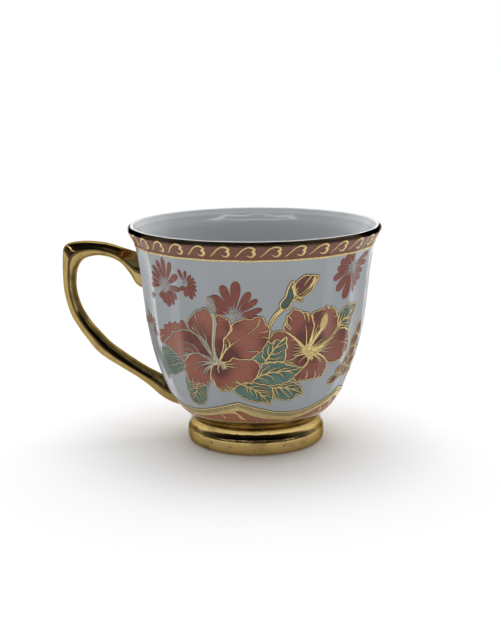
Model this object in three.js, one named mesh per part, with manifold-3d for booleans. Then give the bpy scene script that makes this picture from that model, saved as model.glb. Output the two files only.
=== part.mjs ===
// A footed, fluted porcelain teacup with an ear-shaped handle. The foot, the handle and the lip are
// gilded, two printed borders run round the body, and a printed flower spray lies on each side.
// Units are millimetres and +Z is up. The cup stands on z = 0, its length runs along X with the
// handle towards -X, and the origin is the middle of its footprint box.
import * as THREE from 'three';
import { mergeVertices } from 'three/addons/utils/BufferGeometryUtils.js';
import Module from 'manifold-3d';

const wasm = await Module();
wasm.setup();

// Overall size
const CUP_HEIGHT = 75;
const RIM_RADIUS = 43;
const HANDLE_REACH = 65.5;

// Heights where the shape of the body changes
const FLUTES_START = 13;
const FLUTES_FULL = 36;
const FLUTES_FADE = 62;
const GILDING_START = 73.1;
const LIP_START = 73.4;

// Body
const FLOOR_HEIGHT = 11.5;
const WALL_THICKNESS = 2.3;
const LIP_THICKNESS = 1.5;
const LIP_ROUNDING = 0.35;
const FLUTE_COUNT = 20;
const FLUTE_DEPTH = 1.1;
const LIP_FLUTE_DEPTH = 0.45;
const FLUTE_TURN = THREE.MathUtils.degToRad(15.5);

// Foot ring
const WAIST_HEIGHT = 8.2;
const WAIST_RADIUS = 22.4;
const FOOT_RADIUS = 23.7;
const FOOT_LAND_RADIUS = 22.6;
const FOOT_BORE_RADIUS = 19.5;

// Handle
const HANDLE_THICKNESS = 6.6;
const HANDLE_RIDGE = 1.4;
const HANDLE_BEVEL = 1.5;
const CLAY_JOINT_GAP = 0.3;

// Surface films: the gold coats and the printed sheets
const FILM_GAP = 0.15;
const FILM_THICKNESS = 0.25;
const FILM_STAND = FILM_GAP + FILM_THICKNESS;
const RIM_BORDER = { low: 68.4, high: 72.9 };
const BASE_GILDING = { low: 9, high: 12.2 };
const LOWER_BORDER_LOW = 12.4;
const LOWER_BORDER_HIGH = 16.4;
const LOWER_BORDER_CUSP = 4.0;
const LOWER_BORDER_CUSPS = 5;
const LOWER_BORDER_TURN = THREE.MathUtils.degToRad(-12);
const SPRAY = { low: 19.5, high: 65.5 };

// Facets
const AROUND = 4 * FLUTE_COUNT;
const FOOT_AROUND = 60;

const BODY_TOP = CUP_HEIGHT - FILM_STAND;
const BODY_RIM_RADIUS = RIM_RADIUS - FILM_STAND;

// The outside of the body, from the waist up to the lip, before the flutes are added.
const wallCurve = new THREE.SplineCurve([
  new THREE.Vector2(WAIST_RADIUS, WAIST_HEIGHT),
  new THREE.Vector2(23.4, 9.6),
  new THREE.Vector2(25.7, 12),
  new THREE.Vector2(27.7, 14.6),
  new THREE.Vector2(30.8, 20),
  new THREE.Vector2(34.5, 31),
  new THREE.Vector2(37.1, 44),
  new THREE.Vector2(38.8, 60),
  new THREE.Vector2(40.7, 69),
  new THREE.Vector2(BODY_RIM_RADIUS, LIP_START),
]);
const wallSamples = wallCurve.getSpacedPoints(240);

function wallRadius(height) {
  const above = wallSamples.findIndex((point) => point.y >= height);
  if (above < 1) {
    return above === 0 ? wallSamples[0].x : BODY_RIM_RADIUS;
  }
  const low = wallSamples[above - 1];
  const high = wallSamples[above];
  return THREE.MathUtils.mapLinear(height, low.y, high.y, low.x, high.x);
}

// The flutes are shallow scoops that meet in sharp crests, every second crest a little stronger.
// They fade out towards the foot and again at the lip.
function fluteOffset(angle, height) {
  const phase = (FLUTE_COUNT / 2) * (angle - FLUTE_TURN);
  const scoop = 1 - 2 * Math.abs(Math.sin(phase)) + 0.25 * Math.cos(phase);
  const rise = THREE.MathUtils.smoothstep(height, FLUTES_START, FLUTES_FULL);
  const fall = THREE.MathUtils.smoothstep(height, FLUTES_FADE, LIP_START);
  return scoop * 0.5 * rise * THREE.MathUtils.lerp(FLUTE_DEPTH, LIP_FLUTE_DEPTH, fall);
}

// A turned shape round +Z, with its outline given as [radius, height] pairs. Angle 0 faces -Y.
function turned(outline, around) {
  const points = outline.map(([radius, height]) => new THREE.Vector2(radius, height));
  return new THREE.LatheGeometry(points, around).rotateX(Math.PI / 2);
}

// Moves each vertex to where place(angle, radius, height) says: it gives [radius, height].
function reshaped(geometry, place) {
  const position = geometry.attributes.position;
  for (let i = 0; i < position.count; i += 1) {
    const x = position.getX(i);
    const y = position.getY(i);
    const angle = Math.atan2(x, -y);
    const [radius, height] = place(angle, Math.hypot(x, y), position.getZ(i));
    position.setXYZ(i, radius * Math.sin(angle), -radius * Math.cos(angle), height);
  }
  return geometry;
}

function fluted(outline) {
  return reshaped(turned(outline, AROUND), (angle, radius, height) => [
    radius > 1 ? radius + fluteOffset(angle, height) : radius,
    height,
  ]);
}

function solidOf(geometry) {
  const bare = geometry.clone();
  bare.deleteAttribute('normal');
  bare.deleteAttribute('uv');
  const merged = mergeVertices(bare, 1e-4);
  return new wasm.Manifold(new wasm.Mesh({
    numProp: 3,
    vertProperties: merged.attributes.position.array,
    triVerts: new Uint32Array(merged.index.array),
  }));
}

function geometryOf(solid) {
  const mesh = solid.getMesh();
  const geometry = new THREE.BufferGeometry();
  geometry.setAttribute('position', new THREE.BufferAttribute(mesh.vertProperties, 3));
  geometry.setIndex(new THREE.BufferAttribute(mesh.triVerts, 1));
  return geometry;
}

// Evenly spaced heights from low to high.
function heightsBetween(low, high, steps) {
  return Array.from({ length: steps + 1 }, (_, i) => THREE.MathUtils.lerp(low, high, i / steps));
}

// The outside of the body. Its rows are closer together at the foot and in the flare of the lip,
// where the wall bends more.
function outerOutline(stand) {
  const lower = heightsBetween(WAIST_HEIGHT, 20, 7);
  const middle = heightsBetween(20, 64, 6).slice(1);
  const flare = heightsBetween(64, LIP_START, 5).slice(1);
  return [...lower, ...middle, ...flare].map((height) => [wallRadius(height) + stand, height]);
}

// Body: a solid floor, the fluted wall and a rounded lip.
function bowlGeometry() {
  const inside = heightsBetween(22, 72, 7).reverse();
  return fluted([
    [0, WAIST_HEIGHT],
    ...outerOutline(0),
    [BODY_RIM_RADIUS - LIP_ROUNDING, BODY_TOP - LIP_ROUNDING],
    [BODY_RIM_RADIUS - LIP_THICKNESS / 2, BODY_TOP],
    [BODY_RIM_RADIUS - LIP_THICKNESS + 0.1, BODY_TOP - 0.4],
    ...inside.map((height) => [wallRadius(height) - WALL_THICKNESS, height]),
    [26.4, 16],
    [22.5, 12.8],
    [18, FLOOR_HEIGHT],
    [0, FLOOR_HEIGHT],
  ]);
}

// Foot ring: a spreading foot with a rounded edge, a flat land to stand on and an open underside.
function footGeometry() {
  return turned([
    [FOOT_BORE_RADIUS, WAIST_HEIGHT],
    [FOOT_BORE_RADIUS + 0.3, 1.2],
    [FOOT_BORE_RADIUS + 1.1, 0],
    [FOOT_LAND_RADIUS, 0],
    [FOOT_RADIUS - 0.3, 0.5],
    [FOOT_RADIUS, 1.5],
    [FOOT_RADIUS - 0.1, 3],
    [FOOT_RADIUS - 0.6, 5.2],
    [WAIST_RADIUS + 0.2, 6.8],
    [WAIST_RADIUS, WAIST_HEIGHT],
    [FOOT_BORE_RADIUS, WAIST_HEIGHT],
  ], FOOT_AROUND);
}

// Handle: an ear-shaped outline in the X-Z plane, given as [distance from the axis, height]. The
// outer edge runs from the upper root over the squared shoulder down to the lower root, and the
// inner edge runs back up round the finger gap.
function handleGeometry() {
  const outerEdge = [
    [35, 64.4], [41, 65.6], [47, 67.5], [53, 68.7], [58, 68.9], [62.9, 68.1], [65, 65.2],
    [HANDLE_REACH, 57], [65.1, 51], [63.3, 44], [59.3, 36.8], [55, 30.9], [48.3, 26],
    [42, 22], [36, 17.3], [31.8, 13.6], [29, 12], [23, 10.8],
  ];
  const innerEdge = [
    [24, 17], [31, 22], [37, 24.3], [42, 27.6], [48.3, 32.4], [53.4, 37.6], [57.5, 42.8],
    [60, 48.4], [61, 54.5], [60.6, 60], [58.6, 63.1], [54, 64.3], [49.4, 63.6], [45.2, 61.4],
    [42.6, 58], [40.4, 54], [35, 52],
  ];
  const edge = (points) => points.map(([x, y]) => new THREE.Vector2(-x, y));
  const outline = new THREE.Shape();
  outline.moveTo(-outerEdge[0][0], outerEdge[0][1]);
  outline.splineThru(edge(outerEdge.slice(1)));
  outline.lineTo(-innerEdge[0][0], innerEdge[0][1]);
  outline.splineThru(edge(innerEdge.slice(1)));
  const bevelDepth = (HANDLE_THICKNESS - HANDLE_RIDGE) / 2;
  const blank = new THREE.ExtrudeGeometry(outline, {
    depth: HANDLE_RIDGE,
    curveSegments: 2,
    bevelThickness: bevelDepth,
    bevelSize: HANDLE_BEVEL,
    bevelOffset: -HANDLE_BEVEL,
    bevelSegments: 1,
  });
  blank.translate(0, 0, -HANDLE_RIDGE / 2).rotateX(Math.PI / 2);
  const bodyRoom = fluted([
    [0, WAIST_HEIGHT],
    ...outerOutline(CLAY_JOINT_GAP),
    [0, LIP_START],
  ]);
  return geometryOf(solidOf(blank).subtract(solidOf(bodyRoom)));
}

// A film on the outside of the body. Its outline starts as a small upright rectangle, which is
// carried round the wall: the rectangle's height becomes the share of the way from low to high.
function wallFilm(low, high, rows) {
  const inner = 50;
  const outer = inner + FILM_THICKNESS;
  const shares = Array.from({ length: rows + 1 }, (_, i) => i / rows);
  const rectangle = [
    ...shares.map((share) => [outer, share]),
    ...shares.map((share) => [inner, share]).reverse(),
    [outer, 0],
  ];
  return reshaped(turned(rectangle, AROUND), (angle, radius, share) => {
    const height = THREE.MathUtils.lerp(low(angle), high(angle), share);
    const stand = FILM_GAP + radius - inner;
    return [wallRadius(height) + fluteOffset(angle, height) + stand, height];
  });
}

// The wavy upper edge of the lower border, with pointed crests.
function lowerBorderTop(angle) {
  const turn = (LOWER_BORDER_CUSPS / 2) * (angle - LOWER_BORDER_TURN);
  return LOWER_BORDER_HIGH + LOWER_BORDER_CUSP * (1 - Math.abs(Math.sin(turn))) ** 1.4;
}

// The coats and printed sheets are cut round the handle's roots.
function clearOfHandle(geometry, low, high) {
  const slot = new THREE.BoxGeometry(RIM_RADIUS, HANDLE_THICKNESS + 2 * CLAY_JOINT_GAP, high - low);
  slot.translate(-RIM_RADIUS / 2 - 10, 0, (low + high) / 2);
  return geometryOf(solidOf(geometry).subtract(solidOf(slot)));
}

function lowerBorderGeometry() {
  const film = wallFilm(() => LOWER_BORDER_LOW, lowerBorderTop, 3);
  return clearOfHandle(film, LOWER_BORDER_LOW - 1, SPRAY.high);
}

function baseGildingGeometry() {
  const film = wallFilm(() => BASE_GILDING.low, () => BASE_GILDING.high, 3);
  return clearOfHandle(film, BASE_GILDING.low - 1, BASE_GILDING.high + 1);
}

// A gold coat folded over the outer half of the lip.
function lipGildingGeometry() {
  const start = wallRadius(GILDING_START);
  return fluted([
    [start + FILM_STAND, GILDING_START],
    [BODY_RIM_RADIUS + FILM_STAND, LIP_START + 0.2],
    [BODY_RIM_RADIUS + FILM_STAND / 2, CUP_HEIGHT - 0.5],
    [BODY_RIM_RADIUS - LIP_THICKNESS / 2, CUP_HEIGHT],
    [BODY_RIM_RADIUS - LIP_THICKNESS / 2 - 0.1, BODY_TOP + FILM_GAP],
    [BODY_RIM_RADIUS - LIP_ROUNDING + FILM_GAP, BODY_TOP - LIP_ROUNDING + FILM_GAP],
    [BODY_RIM_RADIUS + FILM_GAP, LIP_START + 0.1],
    [start + FILM_GAP, GILDING_START],
    [start + FILM_STAND, GILDING_START],
  ]);
}

// One flower spray: a sheet with a rounded outline, pressed round the front of the body. Its
// outline is given across the cup as [x, height].
function flowerGeometry() {
  const sheetOutline = [
    [-30, 30], [-33, 37], [-31, 45], [-25, 48], [-19, 54.5], [-12, 57], [-3, 55.5], [7, 53],
    [11, 58], [16, 64], [22, 63], [23, 55], [31, 52], [35, 48], [34.5, 39], [29, 31], [24, 25],
    [14, 21.5], [2, 23], [-8, 24], [-18, 21], [-26, 24],
  ];
  const outline = new THREE.Shape();
  outline.moveTo(...sheetOutline[0]);
  const around = [...sheetOutline.slice(1), sheetOutline[0]];
  outline.splineThru(around.map(([x, y]) => new THREE.Vector2(x, y)));
  const cutter = new THREE.ExtrudeGeometry(outline, {
    depth: RIM_RADIUS + 5,
    curveSegments: 2,
    bevelEnabled: false,
  });
  cutter.rotateX(Math.PI / 2);
  const film = wallFilm(() => SPRAY.low, () => SPRAY.high, 7);
  return geometryOf(solidOf(film).intersect(solidOf(cutter)));
}

const porcelain = new THREE.MeshStandardMaterial({ color: 0xe9edef, roughness: 0.12, metalness: 0 });
const gold = new THREE.MeshStandardMaterial({ color: 0xd2ab4b, roughness: 0.2, metalness: 1 });
const print = new THREE.MeshStandardMaterial({ color: 0x9c5a4b, roughness: 0.25, metalness: 0 });

const cup = new THREE.Group();

function addPart(name, geometry, material) {
  const mesh = new THREE.Mesh(geometry, material);
  mesh.name = name;
  cup.add(mesh);
  return mesh;
}

addPart('bowl', bowlGeometry(), porcelain);
addPart('foot_ring', footGeometry(), gold);
addPart('handle', handleGeometry(), gold);
addPart('lip_gilding', lipGildingGeometry(), gold);
addPart('base_gilding', baseGildingGeometry(), gold);
addPart('rim_border', wallFilm(() => RIM_BORDER.low, () => RIM_BORDER.high, 3), print);
addPart('lower_border', lowerBorderGeometry(), print);
addPart('flower_transfer_front', flowerGeometry(), print);
addPart('flower_transfer_back', flowerGeometry(), print).rotation.z = Math.PI;

// The bowl's axis stands off the origin, so that the origin is the middle of the whole length.
cup.position.x = (HANDLE_REACH - RIM_RADIUS) / 2;

export default cup;
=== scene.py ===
"""A footed, fluted porcelain teacup: gilded foot, handle and lip, printed borders and flower sprays.

Shapes are worked out in millimetres round the bowl's own axis, and turned into metres when a mesh is
made. The printing is drawn on a flat sheet, as (across, up) in millimetres, and then laid round the
body: across runs round a circle of SHEET_RADIUS from the middle of the sheet, and up is the height.
"""
import math
import random

import bpy
import numpy as np
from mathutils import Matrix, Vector
from mathutils.geometry import delaunay_2d_cdt


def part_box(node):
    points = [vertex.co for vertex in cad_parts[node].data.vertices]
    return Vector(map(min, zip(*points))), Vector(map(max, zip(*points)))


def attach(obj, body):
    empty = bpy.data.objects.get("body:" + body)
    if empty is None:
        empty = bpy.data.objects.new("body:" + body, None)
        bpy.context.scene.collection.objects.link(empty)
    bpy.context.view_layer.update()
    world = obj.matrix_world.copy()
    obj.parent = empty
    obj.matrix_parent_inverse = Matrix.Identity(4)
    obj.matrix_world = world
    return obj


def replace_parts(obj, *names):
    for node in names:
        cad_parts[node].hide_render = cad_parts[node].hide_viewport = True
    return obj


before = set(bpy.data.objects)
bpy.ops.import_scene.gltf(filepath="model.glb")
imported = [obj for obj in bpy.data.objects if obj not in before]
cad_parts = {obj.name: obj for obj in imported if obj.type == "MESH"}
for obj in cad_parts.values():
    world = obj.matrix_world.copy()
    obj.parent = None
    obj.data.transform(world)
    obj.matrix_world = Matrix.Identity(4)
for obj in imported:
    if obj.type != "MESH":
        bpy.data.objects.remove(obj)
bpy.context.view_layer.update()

MM = 0.001
chance = random.Random(7)

# ---------------------------------------------------------------- sizes taken from the frame, in mm
foot_low, foot_high = (np.array(corner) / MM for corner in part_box("foot_ring"))
lip_low, lip_high = (np.array(corner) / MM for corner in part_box("lip_gilding"))
handle_low, handle_high = (np.array(corner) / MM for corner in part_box("handle"))

AXIS_X = (foot_low[0] + foot_high[0]) / 2
FOOT_RADIUS = (foot_high[0] - foot_low[0]) / 2
WAIST_HEIGHT = foot_high[2]
RIM_RADIUS = (lip_high[1] - lip_low[1]) / 2
CUP_HEIGHT = lip_high[2]
HANDLE_REACH = AXIS_X - handle_low[0]
HANDLE_THICKNESS = handle_high[1] - handle_low[1]

# Body. The wall is thicker low down by WALL_THICKENING, and its rings are ROW_STEP apart
WALL_THICKNESS = 2.2
WALL_THICKENING = 0.6
ROW_STEP = 0.65
WAIST_RADIUS = FOOT_RADIUS - 1.3
LIP_START = CUP_HEIGHT - 1.6
WALL = [
    (WAIST_RADIUS, WAIST_HEIGHT), (23.4, 9.6), (25.8, 12), (27.9, 14.6), (31.0, 20), (34.7, 31),
    (37.3, 44), (39.0, 60), (40.9, 69), (42.0, 71.5), (RIM_RADIUS - 0.05, LIP_START),
]
FLUTES = 20
FLUTE_DEPTH = 1.1
LIP_FLUTE_DEPTH = 0.34
FLUTE_TURN = math.radians(15.5)
CREST_SOFTNESS = 0.07

# Printing. Films reach SINK into the wall. The borders are given by their lower and upper heights,
# and the lower one also by how far its crests rise
SHEET_RADIUS = 37.2
SINK = 0.10
LINE = 0.36
FILM_STAND = 0.05
RIM_BAND = (68.9, LIP_START + 0.05)
RIM_SCROLLS = 33
SCROLL_HEIGHT = 71.75
SCROLL_SHIFT = 0.55
LOWER_BAND = (12.8, 16.2, 4.6)
LOWER_CUSPS = 5
LOWER_TURN = math.radians(-10.8)
LOWER_LEAN = 1.2
EDGE_EXTRA = 0.32

# Places round the cup in a ring of points
AROUND = 480
FOOT_AROUND = 240


# ---------------------------------------------------------------- curves
def smooth_path(points, step, closed=False):
    """Points about every step mm along a smooth curve through the given points."""
    points = np.asarray(points, float)
    if closed:
        ends = np.vstack([points[-1:], points, points[:2]])
    else:
        ends = np.vstack([2 * points[0] - points[1], points, 2 * points[-1] - points[-2]])
    path = []
    for a, b, c, d in zip(ends, ends[1:], ends[2:], ends[3:]):
        count = max(2, math.ceil(np.linalg.norm(c - b) / step))
        for t in np.arange(count) / count:
            path.append(0.5 * (2 * b + (c - a) * t + (2 * a - 5 * b + 4 * c - d) * t ** 2
                               + (3 * b - a - 3 * c + d) * t ** 3))
    if not closed:
        path.append(points[-1])
    return np.array(path)


def smooth_step(low, high, value):
    share = np.clip((value - low) / (high - low), 0, 1)
    return share * share * (3 - 2 * share)


WALL_CURVE = smooth_path(WALL, 0.2)


def wall_radius(height):
    return np.interp(height, WALL_CURVE[:, 1], WALL_CURVE[:, 0])


def flute(angle, height, softness=CREST_SOFTNESS):
    """How far the wall stands out of its turned shape: shallow scoops that meet in soft crests."""
    phase = FLUTES / 2 * (angle - FLUTE_TURN)
    softness = softness + 0.5 * smooth_step(60, 73, height)
    scoop = 1 - 2 * np.sqrt(np.sin(phase) ** 2 + softness ** 2)
    depth = FLUTE_DEPTH + (LIP_FLUTE_DEPTH - FLUTE_DEPTH) * smooth_step(62, 73, height)
    return scoop * 0.5 * smooth_step(13, 36, height) * depth


def around_axis(angle, radius, height):
    """Places in mm in the frame, from places round the bowl's axis. Angle 0 faces -Y."""
    angle, radius, height = np.broadcast_arrays(angle, radius, height)
    return np.stack([AXIS_X + radius * np.sin(angle), -radius * np.cos(angle), height], -1)


def on_wall(angle, height, stand):
    return around_axis(angle, wall_radius(height) + flute(angle, height) + stand, height)


# ---------------------------------------------------------------- meshes
def make_piece(name, vertices, faces, material, tone):
    """A piece on the body. tone shades its material, and is one number or one for each vertex."""
    mesh = bpy.data.meshes.new(name)
    mesh.from_pydata((np.asarray(vertices) * MM).tolist(), [], faces)
    tones = np.broadcast_to(tone, len(vertices)).tolist()
    mesh.attributes.new("tone", "FLOAT", "POINT").data.foreach_set("value", tones)
    mesh.polygons.foreach_set("use_smooth", [True] * len(mesh.polygons))
    mesh.materials.append(material)
    mesh.validate()
    piece = bpy.data.objects.new(name, mesh)
    bpy.context.collection.objects.link(piece)
    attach(piece, "root")
    return piece


def rows_mesh(rows, capped=False):
    """A skin over rings of points. Closed on itself from the last ring to the first, or capped."""
    count, around = rows.shape[:2]
    vertices = rows.reshape(-1, 3)
    faces = []
    for i in range(count - 1 if capped else count):
        below, above = i * around, (i + 1) % count * around
        for j in range(around):
            k = (j + 1) % around
            faces.append((below + j, below + k, above + k, above + j))
    if capped:
        for ring, flip in ((0, True), (count - 1, False)):
            centre = len(vertices)
            vertices = np.vstack([vertices, rows[ring].mean(0)])
            for j in range(around):
                edge = (ring * around + j, ring * around + (j + 1) % around)
                faces.append((edge[1], edge[0], centre) if flip else (*edge, centre))
    return vertices, faces


def ring_angles(around=AROUND):
    return np.arange(around) * 2 * math.pi / around


def turned(outline, around=AROUND, softness=CREST_SOFTNESS):
    """Rings of points from an outline of (radius, height, share of the flutes)."""
    radius, height, share = (np.asarray(column)[:, None] for column in np.transpose(outline))
    angle = ring_angles(around)[None, :]
    return around_axis(angle, radius + share * flute(angle, height, softness), height)


def wall_band(low, high, rows, stand):
    """A thin coat round the wall between two heights. The upper one may be a function of the angle."""
    angle = ring_angles()
    low_edge = np.full(AROUND, low)
    high_edge = high(angle) if callable(high) else np.full(AROUND, high)
    shares = np.linspace(0, 1, rows)[:, None]
    height = low_edge + (high_edge - low_edge) * shares
    outside = on_wall(angle, height, stand)
    inside = on_wall(angle, height, -SINK)[::-1]
    return rows_mesh(np.concatenate([outside, inside]))


# ---------------------------------------------------------------- drawing on the flat sheet
class Layer:
    """One printed colour: films and raised lines gathered into a single piece.

    edge is a second layer that gets a slightly wider, darker stroke under every line: painted shade along
    each raised line.
    """

    def __init__(self, turn=0.0, edge=None):
        self.turn = turn
        self.edge = edge
        self.vertices = []
        self.faces = []
        self.tone = []
        self.count = 0

    def add(self, places, stands, faces, tone, squeeze=1.0, centre=0.0):
        places = np.asarray(places, float)
        angle = self.turn + (centre + (places[:, 0] - centre) * squeeze) / SHEET_RADIUS
        self.vertices.append(on_wall(angle, places[:, 1], np.asarray(stands)))
        self.faces.extend(tuple(self.count + i for i in face) for face in faces)
        self.tone.extend(np.broadcast_to(tone, len(places)))
        self.count += len(places)

    def piece(self, name, material, slot):
        return make_piece(name, np.vstack(self.vertices), self.faces, material, self.tone)


def inside_outline(places, outline):
    x, y = places[:, 0, None], places[:, 1, None]
    start, end = outline, np.roll(outline, -1, 0)
    rising = (start[:, 1] > y) != (end[:, 1] > y)
    with np.errstate(divide="ignore", invalid="ignore"):
        cross = start[:, 0] + (y - start[:, 1]) * (end[:, 0] - start[:, 0]) / (end[:, 1] - start[:, 1])
    return (rising & (x < cross)).sum(1) % 2 == 1


def film(layer, outline, stand, tone=0.5, spacing=0.7):
    """Fills a closed outline. tone is a number, or a function of the places that gives one each."""
    outline = np.asarray(outline, float)
    low, high = outline.min(0), outline.max(0)
    steps = [np.arange(a + spacing / 2, b, spacing) for a, b in zip(low, high)]
    grid = np.stack(np.meshgrid(*steps), -1).reshape(-1, 2)
    if len(grid):
        gap = np.linalg.norm(grid[:, None] - outline[None], axis=2).min(1)
        grid = grid[(gap > 0.4 * spacing) & inside_outline(grid, outline)]
    points = [Vector(place) for place in np.vstack([outline, grid])]
    found, _, faces, *_ = delaunay_2d_cdt(points, [], [list(range(len(outline)))], 1, 1e-5)
    used = sorted({i for face in faces for i in face})
    order = {old: new for new, old in enumerate(used)}
    faces = [[order[i] for i in face] for face in faces]
    places = np.array([found[i] for i in used])
    edges = {}
    for face in faces:
        for a, b in zip(face, face[1:] + face[:1]):
            edges[a, b] = (b, a) not in edges
            if not edges[a, b]:
                edges[b, a] = False
    count = len(places)
    under = [[i + count for i in reversed(face)] for face in faces]
    sides = [(b, a, a + count, b + count) for (a, b), rim in edges.items() if rim]
    tones = tone(places) if callable(tone) else np.full(count, tone)
    stands = [stand] * count + [-SINK] * count
    layer.add(np.vstack([places] * 2), stands, faces + under + sides, np.concatenate([tones] * 2))


def line(layer, path, width=LINE, stand=0.13, rise=0.07, taper=True, closed=False, tone=0.65,
         squeeze=1.0, centre=0.0):
    """A raised line: a low ridge along the path, thinner at its ends if it tapers."""
    path = np.asarray(path, float)
    # A darker stroke under the line on the edge layer: painted shade
    if layer.edge is not None:
        line(layer.edge, path, np.asarray(width, float) + EDGE_EXTRA, stand - 0.02, 0.01, taper, closed, 0.5)
    count = len(path)
    if closed:
        along = np.roll(path, -1, 0) - np.roll(path, 1, 0)
    else:
        along = np.gradient(path, axis=0)
    along /= np.maximum(np.linalg.norm(along, axis=1, keepdims=True), 1e-9)
    side = np.stack([-along[:, 1], along[:, 0]], -1)
    half = np.broadcast_to(np.asarray(width, float) / 2, count).copy()
    if taper and not closed:
        share = np.linspace(0, 1, count)
        half *= np.clip(np.minimum(share / 0.25, (1 - share) / 0.35), 0.18, 1) ** 0.7
    half = half[:, None]
    places = np.stack([path + side * half, path, path - side * half, path], 1).reshape(-1, 2)
    stands = np.tile([stand, stand + rise, stand, -SINK], count)
    faces = []
    for i in range(count if closed else count - 1):
        j = (i + 1) % count
        for a in range(4):
            b = (a + 1) % 4
            faces.append((4 * i + a, 4 * j + a, 4 * j + b, 4 * i + b))
    if not closed:
        last = 4 * (count - 1)
        faces += [(3, 2, 1, 0), (last, last + 1, last + 2, last + 3)]
    layer.add(places, stands, faces, tone, squeeze, centre)


def dot(layer, place, radius, stand=0.13, rise=0.1):
    """A small raised bead of colour."""
    turns = ring_angles(6)
    rim = np.asarray(place) + radius * np.stack([np.cos(turns), np.sin(turns)], -1)
    places = np.vstack([rim, [place], [place]])
    faces = [(i, (i + 1) % 6, 6) for i in range(6)] + [((i + 1) % 6, i, 7) for i in range(6)]
    layer.add(places, [stand] * 6 + [stand + rise, -SINK], faces, 0.5)


def ruffled(points, depth, waves, start=0.2, end=0.8, sharp=False):
    """A closed smooth outline with its far edge ruffled, or toothed where it is sharp."""
    path = smooth_path(points, 0.3, closed=True)
    share = np.arange(len(path)) / len(path)
    along = np.roll(path, -1, 0) - np.roll(path, 1, 0)
    along /= np.maximum(np.linalg.norm(along, axis=1, keepdims=True), 1e-9)
    side = np.stack([-along[:, 1], along[:, 0]], -1)
    fade = smooth_step(start - 0.06, start + 0.06, share) * (1 - smooth_step(end - 0.06, end + 0.06, share))
    turn = 2 * math.pi * waves * share
    if sharp:
        wave = 2 * np.abs((turn / (2 * math.pi)) % 1 - 0.5) - 0.5
    else:
        wave = np.sin(turn) + 0.5 * np.sin(2.3 * turn + 1)
    return path + side * (depth * fade * wave)[:, None]


def bowed(start, end, bow):
    """A gently curved stroke from start to end. bow is how far its middle stands aside, as a share."""
    start, end = np.asarray(start, float), np.asarray(end, float)
    aside = np.array([start[1] - end[1], end[0] - start[0]]) * bow
    return smooth_path([start, (start + end) / 2 + aside, end], 0.35)


# ---------------------------------------------------------------- flowers and leaves
def strokes(layer, width, stand, *paths):
    """Strokes through listed points, each thick where it starts and fine where it ends."""
    for points in paths:
        path = smooth_path(points, 0.3)
        line(layer, path, np.linspace(1.25, 0.45, len(path)) * width, stand, taper=False)


def petal(colour, ink, points, heart, stand, waves, window, lift=0.0, clouds=()):
    """One hibiscus petal: a film shaded from dark at the heart, and a ruffled outline.

    Each cloud is a soft airbrushed patch: its place, its radius and how much it darkens.
    """
    heart = np.asarray(heart, float)
    outline = ruffled(points, 0.16, waves, *window)
    offsets = outline - heart
    longest = np.linalg.norm(offsets, axis=1).max()

    def tone(places):
        far = np.linalg.norm(places - heart, axis=1) / longest
        value = 0.1 + 0.65 * smooth_step(0.1, 0.55, far) + lift
        for x, y, radius, amount in clouds:
            gap = np.linalg.norm(places - [x, y], axis=1) / radius
            value = value - amount * np.exp(-gap ** 2)
        return np.clip(value, 0, 1)

    film(colour, outline, stand, tone)
    count = len(outline)
    swell = LINE * (1 + 0.25 * np.sin(np.arange(count) * 0.9) * np.sin(np.arange(count) * 0.23))
    line(ink, outline, swell, stand + 0.03, closed=True)


def leaf(colour, ink, points, rib, stand, *veins, teeth=17, width=LINE):
    """A toothed leaf with a midrib and side veins."""
    outline = ruffled(points, 0.4, teeth, 0.04, 0.96, sharp=True)
    rib = smooth_path(rib, 0.35)

    def tone(places):
        near = np.linalg.norm(places[:, None] - rib[None], axis=2).min(1)
        return np.clip(0.2 + 0.14 * near + 0.15 * np.sin(1.3 * places[:, 0] + places[:, 1]), 0, 1)

    film(colour, outline, stand, tone)
    line(ink, outline, width, stand + 0.03, closed=True)
    line(ink, rib, np.linspace(1.6, 0.7, len(rib)) * width, stand + 0.03, taper=False)
    strokes(ink, width, stand + 0.03, *veins)


def oblong(start, direction, length, width, round_tip=True):
    """A small petal's outline: widening to a round tip, or an even oval."""
    direction = np.asarray(direction) / np.linalg.norm(direction)
    side = np.array([-direction[1], direction[0]])
    if round_tip:
        share = np.sin(np.linspace(0, math.pi / 2, 12))
        bulge = share ** 0.8 * np.sqrt(1 - share ** 4) / 0.69
    else:
        share = (1 - np.cos(np.linspace(0, math.pi, 14))) / 2
        bulge = 2 * np.sqrt(share * (1 - share))
    along = start + np.outer(share * length, direction)
    aside = np.outer(bulge * width / 2, side)
    return np.vstack([along + aside, (along - aside)[-2:0:-1]])


def daisy(colour, pale, centre, eye, stand, petals):
    """A flat daisy or part of one. Each petal is its direction in degrees, its length and its width."""
    centre = np.asarray(centre, float)
    for i, (degrees, length, width) in enumerate(petals):
        turn = math.radians(degrees)
        direction = np.array([math.cos(turn), math.sin(turn)])
        root = centre + direction * 0.6 * eye
        film(colour, oblong(root, direction, length - 0.6 * eye, 0.9 * width), stand + 0.005 * (i % 3),
            0.38, 0.6)
        for bow in (0.07, -0.07):
            tip = centre + direction * (eye + chance.uniform(0.08, 0.3) * length)
            line(pale, bowed(centre + direction * 0.8 * eye, tip, bow), 0.15, stand + 0.03, 0.02)
    turns = ring_angles(28)
    wobble = 1 + 0.18 * np.sin(7 * turns) + 0.1 * np.sin(11 * turns + 1)
    eye_edge = centre + (eye * wobble)[:, None] * np.stack([np.cos(turns), np.sin(turns)], -1)
    film(pale, eye_edge, stand + 0.03, 0.5)
    for _ in range(int(12 * eye ** 2)):
        turn, far = chance.uniform(0, 2 * math.pi), math.sqrt(chance.random()) * eye * 0.8
        dot(colour, centre + far * np.array([math.cos(turn), math.sin(turn)]), 0.13, stand + 0.04, 0.03)


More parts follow.
